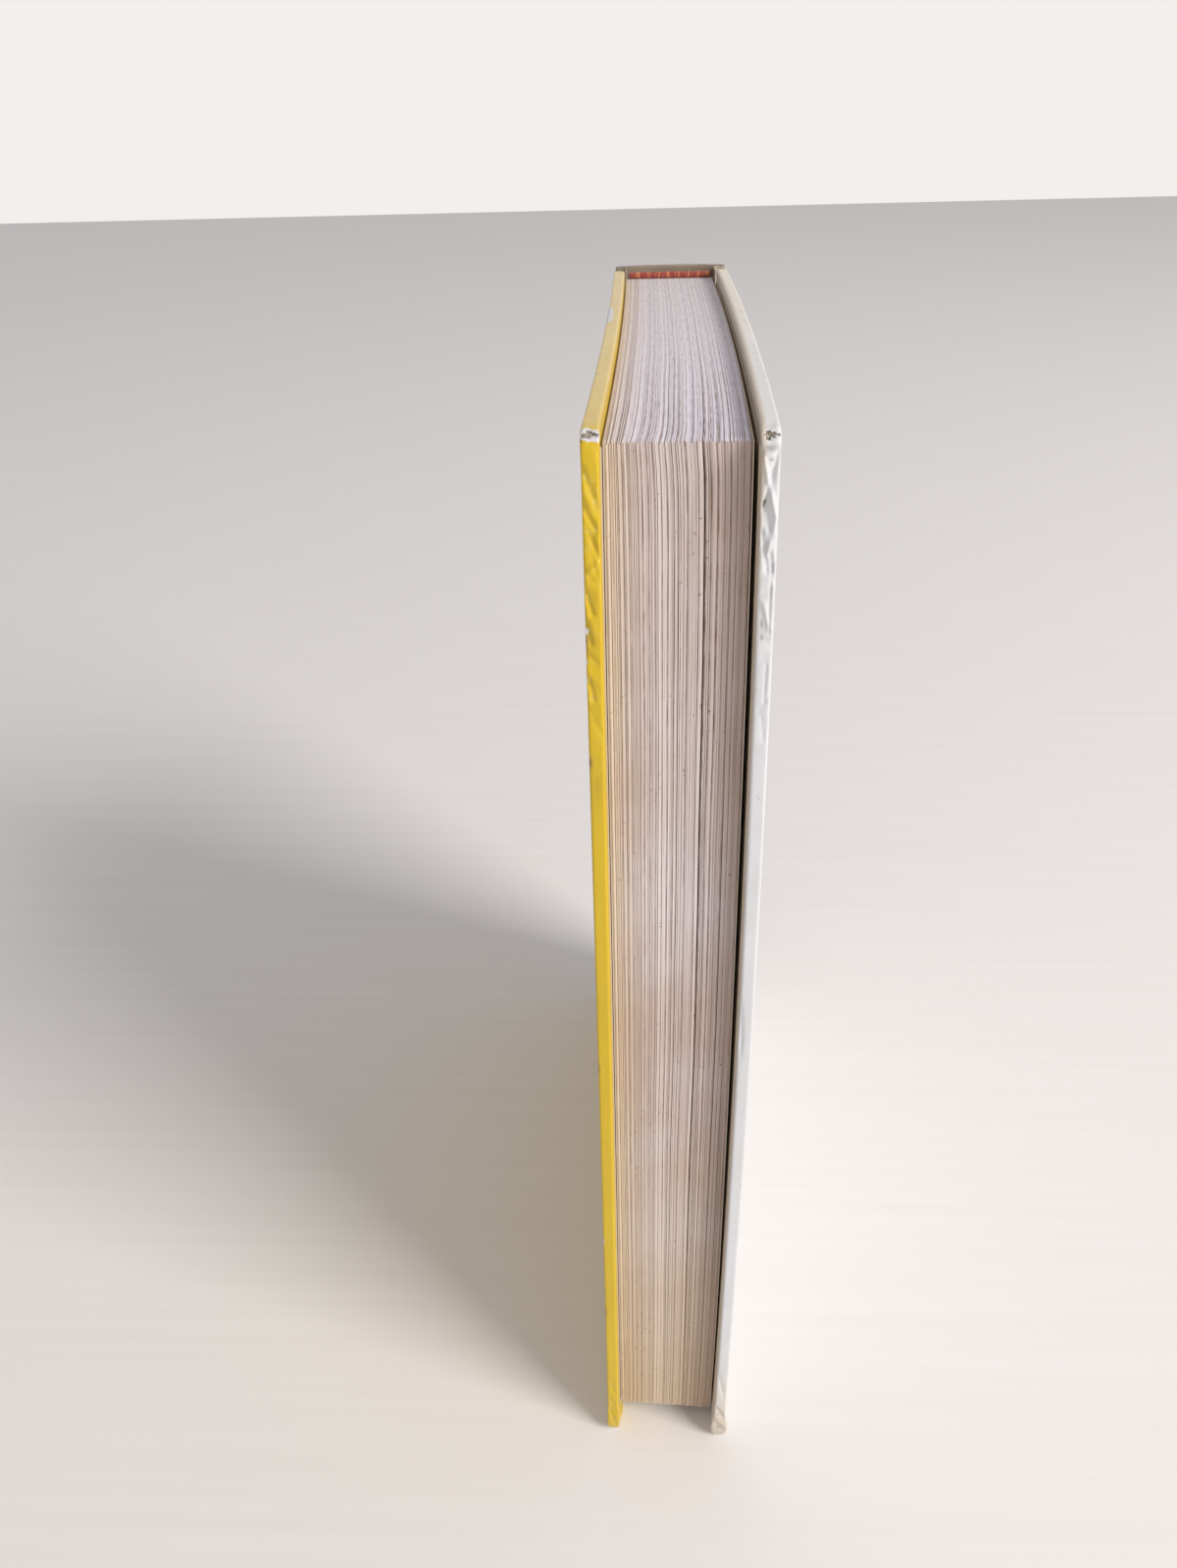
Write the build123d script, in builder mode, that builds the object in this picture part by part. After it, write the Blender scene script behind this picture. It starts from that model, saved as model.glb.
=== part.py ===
"""A case-bound book standing upright on its tail edges, closed.

Millimetres. +Z runs up the leaves to the head, the fore-edge faces -Y, the spine faces +Y,
the front cover is at -X and the back cover at +X. The origin is at the middle of the
rectangle that the closed book covers on the surface it stands on.

The case is one printed sheet glued round two boards and a spine card. It bends only at the
two joints, the grooves beside the spine, so the sheet, the gauze and the endpapers are each
parted there: what is on a board turns with its cover, and the rest stays with the leaves.
"""

import os
from math import sqrt

from build123d import *

# ---- the leaves
leaf_height = 235.0
leaf_width = 158.0
block_thickness = 21.4
back_edge_round = 0.5  # the folds at the spine are pressed, so the corners aren't sharp

# ---- sheet materials, by thickness
board_thickness = 2.2
spine_card_thickness = 1.2
cover_sheet = 0.2
endpaper = 0.2
gauze_thickness = 0.2
lining_thickness = 0.2

# ---- how far the case stands out past the leaves
head_square = 2.8
tail_square = 4.2
fore_square = 4.0
board_corner_round = 2.0
cover_edge_round = 0.45  # the sheet's fold round the edge of a board

# ---- how the case lies on the leaves
front_gap = 0.3  # the front cover lies close
back_gap = 0.5  # the back cover stands off a little more
joint_setback = 1.5  # from the back of the leaves to the line that a cover turns about
joint_slit = 0.3  # where the sheet is parted, beside the board
swing_clearance = 0.1  # beyond the outermost line of the spine, as a cover swings right back
hollow = 0.5  # between the spine lining and the turned-in sheet, at the card's edges
spine_sagitta = 1.5  # how far the spine card bows out

# ---- what is glued over what
turn_in = 15.0
pastedown_margin = 3.5
gauze_flange = 25.0
gauze_inset = 18.0  # from the head and tail of the leaves
gauze_leg = 4.5  # how far the gauze wraps round onto the side of the leaves
lining_inset = 3.0
band_tape = 12.0
band_bead_radius = 0.9
band_seat = 0.2  # how far the bead is pressed flat where it sits on the leaves
band_side_clearance = 0.2

# ---- levels outwards from the side of the leaves
front_paste_level = endpaper + front_gap
back_paste_level = endpaper + back_gap
turn_level = endpaper  # from the pastedown's inner face to the turned-in sheet
board_level = turn_level + cover_sheet
outer_sheet_level = board_level + board_thickness
cover_thickness = outer_sheet_level + cover_sheet

# ---- heights
case_height = tail_square + leaf_height + head_square
leaf_bottom = tail_square
leaf_top = tail_square + leaf_height

# ---- across the spine
case_thickness = block_thickness + front_paste_level + back_paste_level + 2 * cover_thickness
front_side = -case_thickness / 2 + cover_thickness + front_paste_level
back_side = front_side + block_thickness
card_front = -case_thickness / 2 + cover_sheet
card_back = case_thickness / 2 - cover_sheet
card_middle = (card_front + card_back) / 2
card_chord = card_back - card_front
card_inner_radius = (card_chord**2 / 4 + spine_sagitta**2) / (2 * spine_sagitta)
card_outer_radius = card_inner_radius + spine_card_thickness
turned_radius = card_inner_radius - cover_sheet

# ---- along the covers: the fore-edge, the back of the leaves and the spine
card_edge_setback = gauze_thickness + lining_thickness + hollow + cover_sheet
spine_depth = card_edge_setback + spine_sagitta + spine_card_thickness + cover_sheet
case_depth = fore_square + leaf_width + spine_depth
fore_edge = -case_depth / 2
leaf_front = fore_edge + fore_square
leaf_back = leaf_front + leaf_width
groove_width = 2 * joint_setback + spine_depth + cover_sheet + swing_clearance
board_rear = leaf_back - groove_width
cover_rear = board_rear + cover_sheet
joint_line = leaf_back - joint_setback
arc_centre = leaf_back + card_edge_setback + spine_sagitta - card_inner_radius


def slab(x_low, x_high, y_low, y_high, z_low, z_high, corner=0.0):
    """A flat sheet or board between two planes of constant X, its fore-edge corners rounded."""
    with BuildPart() as sheet:
        with BuildSketch(Plane.YZ.offset(x_low)) as outline:
            with Locations(((y_low + y_high) / 2, (z_low + z_high) / 2)):
                Rectangle(y_high - y_low, z_high - z_low)
            if corner > 0:
                fillet(outline.vertices().group_by(Axis.Y)[0], corner)
        extrude(amount=x_high - x_low)
    return sheet.part


def on_arc(radius, x):
    """The point at x on a circle about the spine card's centre of curvature."""
    return (x, arc_centre + sqrt(radius**2 - (x - card_middle) ** 2))


def spine_band(inner, outer, x_low, x_high, z_low, z_high):
    """A strip bowed like the spine card, between two radii, cut off square at two widths."""
    with BuildPart() as strip:
        with BuildSketch(Plane.XY.offset(z_low)):
            with BuildLine():
                near = ThreePointArc(
                    on_arc(inner, x_low), on_arc(inner, card_middle), on_arc(inner, x_high)
                )
                far = ThreePointArc(
                    on_arc(outer, x_low), on_arc(outer, card_middle), on_arc(outer, x_high)
                )
                Line(near @ 0, far @ 0)
                Line(near @ 1, far @ 1)
            make_face()
        extrude(amount=z_high - z_low)
    return strip.part


pieces = []


def finish(shape, name):
    """Names a finished piece and keeps it for the export."""
    shape.label = name
    pieces.append(shape)


# ---- the sewn and trimmed leaves
with BuildPart() as text_block:
    with BuildSketch(Plane.XY.offset(leaf_bottom)) as block_plan:
        with Locations(((front_side + back_side) / 2, (leaf_front + leaf_back) / 2)):
            Rectangle(block_thickness, leaf_width)
        fillet(block_plan.vertices().group_by(Axis.Y)[-1], back_edge_round)
    extrude(amount=leaf_height)
finish(text_block.part, "text_block")

# ---- free endpapers, one against each side of the leaves
flyleaf_rear = leaf_back - back_edge_round
for name, x_low in (("front_flyleaf", front_side - endpaper), ("back_flyleaf", back_side)):
    leaf = slab(x_low, x_low + endpaper, leaf_front, flyleaf_rear, leaf_bottom, leaf_top)
    finish(leaf, name)

# ---- gauze glued over the back of the leaves and round onto both sides
gauze_back = leaf_back + gauze_thickness
gauze_out = endpaper + gauze_thickness
with BuildPart() as spine_gauze:
    with BuildSketch(Plane.XY.offset(leaf_bottom + gauze_inset)):
        with BuildLine():
            Polyline(
                (front_side - gauze_out, leaf_back - gauze_leg),
                (front_side - gauze_out, gauze_back),
                (back_side + gauze_out, gauze_back),
                (back_side + gauze_out, leaf_back - gauze_leg),
                (back_side + endpaper, leaf_back - gauze_leg),
                (back_side + endpaper, leaf_back),
                (front_side - endpaper, leaf_back),
                (front_side - endpaper, leaf_back - gauze_leg),
                close=True,
            )
        make_face()
    extrude(amount=leaf_height - 2 * gauze_inset)
finish(spine_gauze.part, "spine_gauze")


# ---- headband and tailband: a beaded edge on the leaves, and a tape glued to their back
def end_band(edge_height, outward):
    """A band whose bead sits on one end of the leaves. outward is +1 at the head, -1 at the tail."""
    bead_middle = edge_height + outward * (band_bead_radius - band_seat)
    start = front_side + band_side_clearance
    with BuildPart() as band:
        with BuildSketch(Plane.YZ.offset(start)):
            with Locations((leaf_back - band_bead_radius + gauze_thickness, bead_middle)):
                Circle(band_bead_radius)
            with Locations((leaf_back - leaf_width / 2, edge_height - outward * leaf_height / 2)):
                Rectangle(leaf_width, leaf_height, mode=Mode.SUBTRACT)
            with Locations((leaf_back + gauze_thickness / 2, edge_height - outward * band_tape / 2)):
                Rectangle(gauze_thickness, band_tape)
            with Locations((leaf_back + gauze_thickness / 2, (edge_height + bead_middle) / 2)):
                Rectangle(gauze_thickness, abs(bead_middle - edge_height))
        extrude(amount=block_thickness - 2 * band_side_clearance)
    return band.part


finish(end_band(leaf_top, 1), "headband")
finish(end_band(leaf_bottom, -1), "tailband")

# ---- paper lining over the gauze and both tapes
with BuildPart() as spine_lining:
    with BuildSketch(Plane.XZ.offset(-gauze_back)):
        with Locations(((front_side + back_side) / 2, (leaf_bottom + leaf_top) / 2)):
            Rectangle(block_thickness, leaf_height - 2 * lining_inset)
    extrude(amount=-lining_thickness)
finish(spine_lining.part, "spine_lining")

# ---- the card that stiffens the spine of the case
card_bottom = cover_sheet
card_top = case_height - cover_sheet
spine_card = spine_band(
    card_inner_radius, card_outer_radius, card_front, card_back, card_bottom, card_top
)
finish(spine_card, "spine_card")

# ---- the sheet over the spine: from one groove, round the card, to the other groove
strip_end = cover_rear + joint_slit
groove_floor = endpaper + gauze_thickness
shoulder = leaf_back - back_edge_round
with BuildPart() as spine_sheet:
    with BuildSketch():
        with BuildLine():
            outer_arc = ThreePointArc(
                on_arc(card_outer_radius, card_front),
                on_arc(card_outer_radius, card_middle),
                on_arc(card_outer_radius, card_back),
            )
            Polyline(
                (front_side - groove_floor, strip_end),
                (front_side - groove_floor, shoulder),
                on_arc(card_inner_radius, card_front),
                outer_arc @ 0,
            )
            Polyline(
                outer_arc @ 1,
                on_arc(card_inner_radius, card_back),
                (back_side + groove_floor, shoulder),
                (back_side + groove_floor, strip_end),
            )
            offset(amount=cover_sheet, side=Side.LEFT)
        make_face()
    extrude(amount=case_height)
    for fold_low, fold_high, flap_low, flap_high in (
        (0, card_bottom, 0, turn_in),
        (card_top, case_height, case_height - turn_in, case_height),
    ):
        add(
            spine_band(
                turned_radius, card_outer_radius, card_front, card_back, fold_low, fold_high
            )
        )
        add(
            spine_band(
                turned_radius, card_inner_radius, card_front, card_back, flap_low, flap_high
            )
        )
finish(spine_sheet.part, "spine_sheet")


# ---- one cover: board, sheet folded round it, gauze flange and pastedown
def cover(side_name, side_x, paste_level, out):
    """Everything that turns with one cover. out is -1 for the front cover and +1 for the back."""

    def layer(low, high, *limits, corner=0.0):
        a = side_x + out * (paste_level + low)
        b = side_x + out * (paste_level + high)
        return slab(min(a, b), max(a, b), *limits, corner=corner)

    fold = fore_edge + cover_sheet
    board = layer(
        board_level, outer_sheet_level, fold, board_rear, card_bottom, card_top,
        corner=board_corner_round,
    )
    window = layer(
        turn_level, board_level, fore_edge + turn_in, board_rear, turn_in, case_height - turn_in
    )
    with BuildPart() as sheet:
        add(
            layer(
                turn_level, cover_thickness, fore_edge, cover_rear, 0, case_height,
                corner=board_corner_round + cover_sheet,
            )
        )
        outer_face = sheet.faces().sort_by(Axis.X)[0 if out < 0 else -1]
        fillet(outer_face.edges(), cover_edge_round)
        add(board, mode=Mode.SUBTRACT)
        add(window, mode=Mode.SUBTRACT)
    flange = layer(
        turn_level, board_level, board_rear - gauze_flange, board_rear,
        leaf_bottom + gauze_inset, leaf_top - gauze_inset,
    )
    pastedown = layer(
        0, endpaper, fore_edge + pastedown_margin, cover_rear,
        pastedown_margin, case_height - pastedown_margin,
    )
    finish(board, side_name + "_board")
    finish(sheet.part, side_name + "_cover_sheet")
    finish(flange, side_name + "_gauze_flange")
    finish(pastedown, side_name + "_pastedown")


cover("front", front_side, front_paste_level, -1)
cover("back", back_side, back_paste_level, 1)

os.makedirs("parts", exist_ok=True)
for piece in pieces:
    export_step(piece, f"parts/{piece.label}.step")

# Where the covers turn, in millimetres, for the joints and mounts of the record.
print("front joint", round(front_side - front_paste_level, 4), round(joint_line, 4))
print("back joint", round(back_side + back_paste_level, 4), round(joint_line, 4))
print("size", round(case_thickness, 4), round(case_depth, 4), round(case_height, 4))
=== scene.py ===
import math

import bmesh
import bpy
import numpy as np
from mathutils import Matrix, Vector, noise


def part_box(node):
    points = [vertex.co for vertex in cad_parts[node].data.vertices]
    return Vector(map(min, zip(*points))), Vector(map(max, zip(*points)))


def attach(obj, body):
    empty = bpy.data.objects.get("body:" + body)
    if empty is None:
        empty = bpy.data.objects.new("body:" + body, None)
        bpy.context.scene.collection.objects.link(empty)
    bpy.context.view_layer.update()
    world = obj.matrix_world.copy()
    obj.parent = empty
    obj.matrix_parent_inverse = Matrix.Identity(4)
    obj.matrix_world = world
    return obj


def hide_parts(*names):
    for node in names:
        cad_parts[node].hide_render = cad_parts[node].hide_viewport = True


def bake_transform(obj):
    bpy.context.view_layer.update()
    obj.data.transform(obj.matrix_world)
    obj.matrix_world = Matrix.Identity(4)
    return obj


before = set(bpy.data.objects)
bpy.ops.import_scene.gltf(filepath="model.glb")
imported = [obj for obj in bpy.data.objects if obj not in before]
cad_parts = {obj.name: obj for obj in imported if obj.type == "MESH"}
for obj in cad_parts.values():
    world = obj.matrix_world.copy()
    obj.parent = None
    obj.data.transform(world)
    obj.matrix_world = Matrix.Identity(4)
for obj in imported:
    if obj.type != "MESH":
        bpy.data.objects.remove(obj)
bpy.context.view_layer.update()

mm = 0.001


def boxMm(node):
    low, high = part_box(node)
    return np.array(low) / mm, np.array(high) / mm


def unit(values):
    return np.clip(values, 0, 1)


def bell(distance, width):
    return np.exp(-((distance / width) ** 2))


def easeOut(distance, reach):
    # 1 at the edge and falling away from it
    return np.exp(-np.maximum(distance, 0) / reach)


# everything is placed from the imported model's own boxes, in millimetres
leavesLow, leavesHigh = boxMm("text_block")
coverLow = {side: boxMm(side + "_cover_sheet")[0] for side in ("front", "back")}
coverHigh = {side: boxMm(side + "_cover_sheet")[1] for side in ("front", "back")}
pasteLow = {side: boxMm(side + "_pastedown")[0] for side in ("front", "back")}
pasteHigh = {side: boxMm(side + "_pastedown")[1] for side in ("front", "back")}
spineLow, spineHigh = boxMm("spine_sheet")
cardLow, cardHigh = boxMm("spine_card")
leafRun = leavesHigh[1] - leavesLow[1]
leafRise = leavesHigh[2] - leavesLow[2]
caseRise = coverHigh["front"][2]
foreEdge = coverLow["front"][1]
coverRear = coverHigh["front"][1]


def hexLinear(text):
    channels = [int(text[i : i + 2], 16) / 255 for i in (1, 3, 5)]
    return [c / 12.92 if c <= 0.04045 else ((c + 0.055) / 1.055) ** 2.4 for c in channels] + [1.0]


def addNode(tree, kind, inputs=None, **settings):
    node = tree.nodes.new(kind)
    for name, value in settings.items():
        setattr(node, name, value)
    for name, value in (inputs or {}).items():
        socket = node.inputs[name]
        if isinstance(value, bpy.types.Node):
            value = value.outputs[0]  # a node stands for its first output
        if isinstance(value, bpy.types.NodeSocket):
            tree.links.new(value, socket)
        else:
            socket.default_value = value
    return node


def newMaterial(name):
    material = bpy.data.materials.new(name)
    material.use_nodes = True
    material.node_tree.nodes.clear()
    tree = material.node_tree
    place = addNode(tree, "ShaderNodeTexCoord").outputs["Object"]
    return material, tree, place


def finishMaterial(material, colour, roughness, height=None, bumpMm=0.02, **shaderInputs):
    tree = material.node_tree
    inputs = {"Base Color": colour, "Roughness": roughness}
    inputs.update({name.replace("_", " "): value for name, value in shaderInputs.items()})
    if height is not None:
        bump = addNode(tree, "ShaderNodeBump", {"Strength": 1.0, "Distance": bumpMm * mm, "Height": height})
        inputs["Normal"] = bump
    shader = addNode(tree, "ShaderNodeBsdfPrincipled", inputs)
    addNode(tree, "ShaderNodeOutputMaterial", {"Surface": shader})
    return material


def addObject(name, data):
    piece = bpy.data.objects.new(name, data)
    bpy.context.scene.collection.objects.link(piece)
    return piece


def meshObject(name, points, faces, material, smooth=True):
    mesh = bpy.data.meshes.new(name)
    mesh.from_pydata([tuple(p) for p in np.asarray(points) * mm], [], faces)
    mesh.validate()
    mesh.polygons.foreach_set("use_smooth", [smooth] * len(mesh.polygons))
    if material:
        mesh.materials.append(material)
    return addObject(name, mesh)


def faceOutward(piece):
    shape = bmesh.new()
    shape.from_mesh(piece.data)
    bmesh.ops.recalc_face_normals(shape, faces=shape.faces)
    shape.to_mesh(piece.data)
    shape.free()


def gridLines(low, high, step):
    return list(np.linspace(low, high, max(2, int(round((high - low) / step)) + 1)))


def storeValues(piece, **marks):
    for name, values in marks.items():
        layer = piece.data.attributes.new(name, "FLOAT", "POINT")
        layer.data.foreach_set("value", np.asarray(values, np.float32))


def flatten(piece):
    # swaps a piece's modifiers for the mesh they give
    bpy.context.view_layer.update()
    shown = piece.evaluated_get(bpy.context.evaluated_depsgraph_get())
    mesh = bpy.data.meshes.new_from_object(shown)
    piece.modifiers.clear()
    piece.data = mesh
    return piece


def growPiece(name, tree, values):
    # runs a Geometry Nodes tree on an empty mesh and keeps the plain result
    piece = meshObject(name, np.zeros((0, 3)), [], None)
    modifier = piece.modifiers.new(tree.name, "NODES")
    modifier.node_group = tree
    for item in tree.interface.items_tree:
        if item.in_out == "INPUT":
            modifier[item.identifier] = values[item.name]
    return flatten(piece)


def addSockets(tree, sockets):
    for name, kind in sockets.items():
        tree.interface.new_socket(name=name, in_out="INPUT", socket_type="NodeSocket" + kind)
    tree.interface.new_socket(name="Shape", in_out="OUTPUT", socket_type="NodeSocketGeometry")
    return addNode(tree, "NodeGroupInput").outputs


# the view: standing in front of the fore-edge, a little to the left, looking down on the head
viewFrom = {"x": -3.5, "y": -247.6, "z": 283.9, "pitch": 31.05, "turn": -3.75, "roll": -1.71, "focal": 26.94}
pitch, turn, roll = (math.radians(viewFrom[k]) for k in ("pitch", "turn", "roll"))
forward = Vector((math.sin(turn) * math.cos(pitch), math.cos(turn) * math.cos(pitch), -math.sin(pitch)))
right = Vector((math.cos(turn), -math.sin(turn), 0))
down = forward.cross(right)
pictureRight = right * math.cos(roll) - down * math.sin(roll)
pictureDown = right * math.sin(roll) + down * math.cos(roll)
camera = addObject("camera", bpy.data.cameras.new("camera"))
camera.data.lens = viewFrom["focal"]
camera.data.sensor_width = 36
camera.data.clip_start = 0.01
turned = Matrix((pictureRight, -pictureDown, -forward)).transposed().to_4x4()
camera.matrix_world = Matrix.Translation([viewFrom[k] * mm for k in "xyz"]) @ turned
bpy.context.scene.camera = camera
print("camera ready")


# how the worn book is warped: the leaves have swollen and the back cover bows out with them
warp = {
    "frontBow": 0.6, "backCorner": -0.3, "backBowUp": 1.2, "backBowAlong": 0.9, "leavesCorner": -0.7,
    "leavesBowUp": 1.25, "leavesBowAlong": 0.95, "tailSlant": 1.5, "tailLift": 0.85, "frontEase": 0.14,
    "slew": {"front": 1.0, "back": 1.9},
}


def alongAndUp(y, z):
    along = unit((y - foreEdge) / (coverRear - foreEdge))
    up = unit(z / caseRise)
    return along, up


def frontBow(y, z):
    along = alongAndUp(y, z)[0]
    return warp["frontBow"] * 4 * along * (1 - along)


def backBow(y, z):
    along, up = alongAndUp(y, z)
    rise = np.sin(np.pi * up) ** 0.8
    return (
        (warp["backCorner"] + warp["backBowUp"] * rise) * (1 - along)
        + warp["backBowAlong"] * 4 * along * (1 - along) * (1 - 0.4 * rise)
    )


def leavesBow(y, z):
    along, up = alongAndUp(y, z)
    rise = np.sin(np.pi * up**0.75) ** 0.6
    return (
        (warp["leavesCorner"] + warp["leavesBowUp"] * rise) * (1 - along)
        + warp["leavesBowAlong"] * 4 * along * (1 - along) * (1 - 0.4 * rise)
    )


def boxSurface(xs, ys, zs):
    # the skin of a box, cut along the given grid lines
    index, points, faces = {}, [], []

    def at(i, j, k):
        if (i, j, k) not in index:
            index[i, j, k] = len(points)
            points.append((xs[i], ys[j], zs[k]))
        return index[i, j, k]

    endX, endY, endZ = len(xs) - 1, len(ys) - 1, len(zs) - 1
    for j in range(endY):
        for k in range(endZ):
            for i, flip in ((0, 1), (endX, -1)):
                faces.append([at(i, j, k), at(i, j, k + 1), at(i, j + 1, k + 1), at(i, j + 1, k)][::flip])
    for i in range(endX):
        for k in range(endZ):
            for j, flip in ((0, 1), (endY, -1)):
                faces.append([at(i, j, k), at(i + 1, j, k), at(i + 1, j, k + 1), at(i, j, k + 1)][::flip])
    for i in range(endX):
        for j in range(endY):
            for k, flip in ((0, 1), (endZ, -1)):
                faces.append([at(i, j, k), at(i, j + 1, k), at(i + 1, j + 1, k), at(i + 1, j, k)][::flip])
    return np.array(points), faces


def softenEdges(points, radius):
    # pulls the skin of a box onto rounded edges
    low, high = points.min(0) + radius, points.max(0) - radius
    core = np.clip(points, low, high)
    away = points - core
    reach = np.linalg.norm(away, axis=1, keepdims=True)
    return np.where(reach > 1e-9, core + radius * away / np.maximum(reach, 1e-9), points)


def roundForeCorners(points, radius):
    # rounds the two corners of a board at its fore-edge, seen from the side
    y0, z0, z1 = points[:, 1].min(), points[:, 2].min(), points[:, 2].max()
    dy = np.maximum(y0 + radius - points[:, 1], 0)
    for dz, base in ((z0 + radius - points[:, 2], z0 + radius), (points[:, 2] - (z1 - radius), z1 - radius)):
        dz = np.maximum(dz, 0)
        reach = np.hypot(dy, dz)
        inside = (dy > 0) & (dz > 0)
        share = np.where(inside, np.maximum(dy, dz) / np.maximum(reach, 1e-9), 1.0)
        points[:, 1] = np.where(inside, y0 + radius - dy * share, points[:, 1])
        sign = -1 if base == z0 + radius else 1
        points[:, 2] = np.where(inside, base + sign * dz * share, points[:, 2])
    return points


def grain(points, size, seed):
    # smooth noise from -1 to 1 with features of a given size in millimetres
    return np.array([noise.noise(Vector(p) / size + Vector((seed, 3.1 * seed, 0))) for p in points])


# what each noise below is for, and its seed
seeds = {"fine": 8, "dirt": 17, "tear": 12, "tearFine": 5, "chewY": 21, "chewZ": 33, "spineFine": 6, "spineBroad": 2}


# uncoated book paper, cut by guillotine: matt, browned from the edges inwards, each leaf a little different, with
# painted shade beside the back cover
def bookPaper(name, foreColour, foreShade, headColour, headShade):
    material, tree, place = newMaterial(name)
    tone = addNode(tree, "ShaderNodeAttribute", attribute_name="leafTone").outputs["Fac"]
    across = addNode(tree, "ShaderNodeAttribute", attribute_name="leafPlace").outputs["Fac"]
    axes = addNode(tree, "ShaderNodeSeparateXYZ", {0: place}).outputs
    facing = addNode(tree, "ShaderNodeNewGeometry").outputs["Normal"]
    upward = addNode(tree, "ShaderNodeSeparateXYZ", {0: facing}).outputs["Z"]
    onHead = addNode(tree, "ShaderNodeMapRange", {"Value": upward, "From Min": 0.5, "From Max": 0.8})
    # streaks 0.16 mm wide that run with the leaves, and brown lines that are broken up every few millimetres
    foreLine = addNode(tree, "ShaderNodeCombineXYZ", {"X": across, "Y": 0.0, "Z": axes["Z"]})
    headLine = addNode(tree, "ShaderNodeCombineXYZ", {"X": across, "Y": axes["Y"], "Z": 0.0})
    streaks = {}
    for kind, source, stretch in (
        ("fore", foreLine, (6.0, 0.0, 45.0)),
        ("head", headLine, (6.5, 150.0, 0.0)),
        ("broken", place, (2500.0, 260.0, 260.0)),
    ):
        stretched = addNode(tree, "ShaderNodeMapping", {"Vector": source, "Scale": stretch})
        streaks[kind] = addNode(tree, "ShaderNodeTexNoise", {"Vector": stretched, "Scale": 1.0, "Detail": 3.0})
    lines = addNode(tree, "ShaderNodeMix", {0: onHead, 2: streaks["fore"], 3: streaks["head"]})
    # 30 mm patches of browning, and 0.9 mm foxing spots in 11 mm patches
    patches, spots, spotField = (
        addNode(tree, "ShaderNodeTexNoise", {"Vector": place, "Scale": scale, "Detail": detail})
        for scale, detail in ((33.0, 3.0), (1100.0, 2.0), (90.0, 2.0))
    )
    # every share below: what it reads, from and to which value, and how strong it is at either end
    share = {}
    for part, value, start, end, weak, strong in (
        ("browned", patches, 0.36, 0.64, 0.0, 1.0),
        ("leftSide", across, 7.0, 0.0, 0.0, 0.45),
        ("lowEnd", axes["Z"], 0.11, 0.0, 0.0, 0.75),
        ("paintedShadeUnderBackCover", across, 15.0, 21.0, 0.0, 0.5),  # painted shade: the leaves beside the back cover are painted darker and browner, as the cover's shadow
        ("towardSpine", axes["Y"], -0.08, 0.08, 0.0, 1.0),
        ("frontLeaves", across, 5.0, 0.0, 0.0, 0.45),
        ("darkLine", lines, 0.45, 0.3, 0.0, 0.4),
        ("thinLeaf", tone, 0.24, 0.08, 0.0, 0.78),  # the thin leaf beside each parting is a brown one
        ("sheltered", axes["Y"], -0.079, 0.0, 0.75, 0.1),
        ("broken", streaks["broken"], 0.38, 0.6, 0.35, 1.1),
        ("fromTail", axes["Z"], 0.01, 0.22, 0.35, 1.2),
        ("fromLeft", across, 1.0, 7.0, 0.5, 1.0),
        ("paleLeaf", tone, 0.9, 1.0, 0.0, 0.6),
        ("spotted", spots, 0.66, 0.74, 0.0, 1.0),
        ("spotArea", spotField, 0.5, 0.62, 0.0, 0.75),
    ):
        ends = {"From Min": start, "From Max": end, "To Min": weak, "To Max": strong}
        share[part] = addNode(tree, "ShaderNodeMapRange", {"Value": value, **ends})
    dark = share["thinLeaf"]
    for part, operation in (
        ("sheltered", "MULTIPLY"), ("broken", "MULTIPLY"), ("darkLine", "MAXIMUM"), ("fromTail", "MULTIPLY"),
        ("fromLeft", "MULTIPLY"),
    ):
        dark = addNode(tree, "ShaderNodeMath", {0: dark, 1: share[part]}, operation=operation)
    foxing = addNode(tree, "ShaderNodeMath", {0: share["spotted"], 1: share["spotArea"]}, operation="MULTIPLY")
    head, shown = hexLinear(headColour), hexLinear(foreColour)
    for amount, over in ((share["towardSpine"], headShade), (share["frontLeaves"], "#CFBBAB")):
        head = addNode(tree, "ShaderNodeMix", {0: amount, 6: head, 7: hexLinear(over)}, data_type="RGBA").outputs[2]
    for amount, over in (
        (share["browned"], hexLinear(foreShade)), (share["leftSide"], hexLinear("#F2E0C4")),
        (share["lowEnd"], hexLinear("#DCC59F")), (share["paintedShadeUnderBackCover"], hexLinear("#BBA294")), (onHead, head),
        (dark, hexLinear("#84604A")), (share["paleLeaf"], hexLinear("#EFE6DC")), (foxing, hexLinear("#7A5234")),
    ):
        shown = addNode(tree, "ShaderNodeMix", {0: amount, 6: shown, 7: over}, data_type="RGBA").outputs[2]
    return finishMaterial(material, shown, 0.9, lines, 0.05, Specular_IOR_Level=0.3)


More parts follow.
